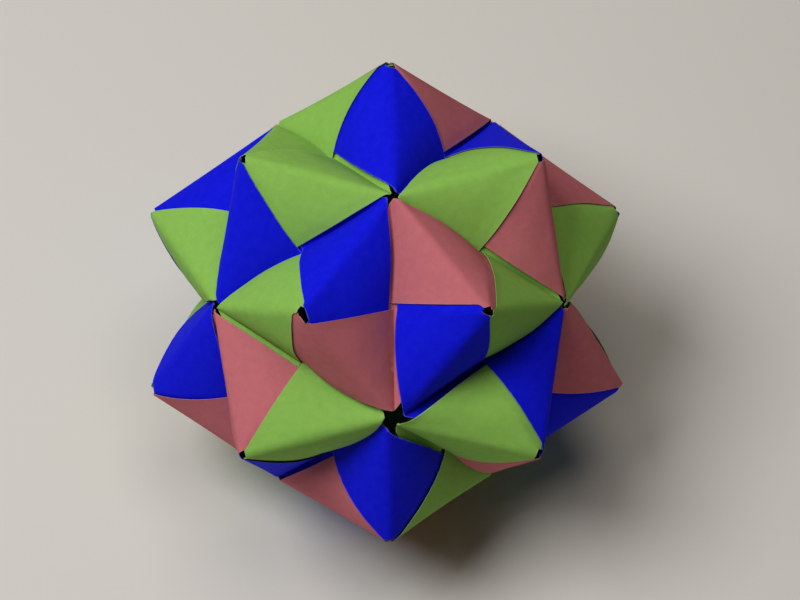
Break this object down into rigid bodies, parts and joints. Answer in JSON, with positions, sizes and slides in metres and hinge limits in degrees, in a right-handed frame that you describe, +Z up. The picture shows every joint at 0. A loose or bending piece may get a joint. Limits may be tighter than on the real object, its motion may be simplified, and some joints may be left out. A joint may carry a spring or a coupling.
{
  "type": "kusudama paper ball",
  "caption": "Hollow modular ball of interlocked folded paper units in blue, pink and green, with low three-sided points and small openings where the units' tips meet.",
  "frame": {"origin": "on the table, under the ball's centre", "axes": "+Z up, through a five-fold opening; X through the centres of two opposite units; the ball stands on the five apexes around its lowest five-fold point"},
  "size_m": [0.1068, 0.112, 0.091],
  "materials": {
    "blue_paper": "matte",
    "green_paper": "matte",
    "pink_paper": "matte"
  },
  "bodies": {
    "root": {"unit_01_blue": "blue_paper", "unit_02_green": "green_paper", "unit_03_blue": "blue_paper", "unit_04_pink": "pink_paper", "unit_05_green": "green_paper", "unit_06_pink": "pink_paper", "unit_07_pink": "pink_paper", "unit_08_green": "green_paper", "unit_09_green": "green_paper", "unit_10_blue": "blue_paper", "unit_11_green": "green_paper", "unit_12_blue": "blue_paper", "unit_13_pink": "pink_paper", "unit_14_pink": "pink_paper", "unit_15_blue": "blue_paper", "unit_16_blue": "blue_paper", "unit_17_pink": "pink_paper", "unit_18_blue": "blue_paper", "unit_19_green": "green_paper", "unit_20_pink": "pink_paper", "unit_21_green": "green_paper", "unit_22_green": "green_paper", "unit_23_green": "green_paper", "unit_24_pink": "pink_paper", "unit_25_blue": "blue_paper", "unit_26_pink": "pink_paper", "unit_27_blue": "blue_paper", "unit_28_pink": "pink_paper", "unit_29_blue": "blue_paper", "unit_30_green": "green_paper"}
  },
  "joints": []
}
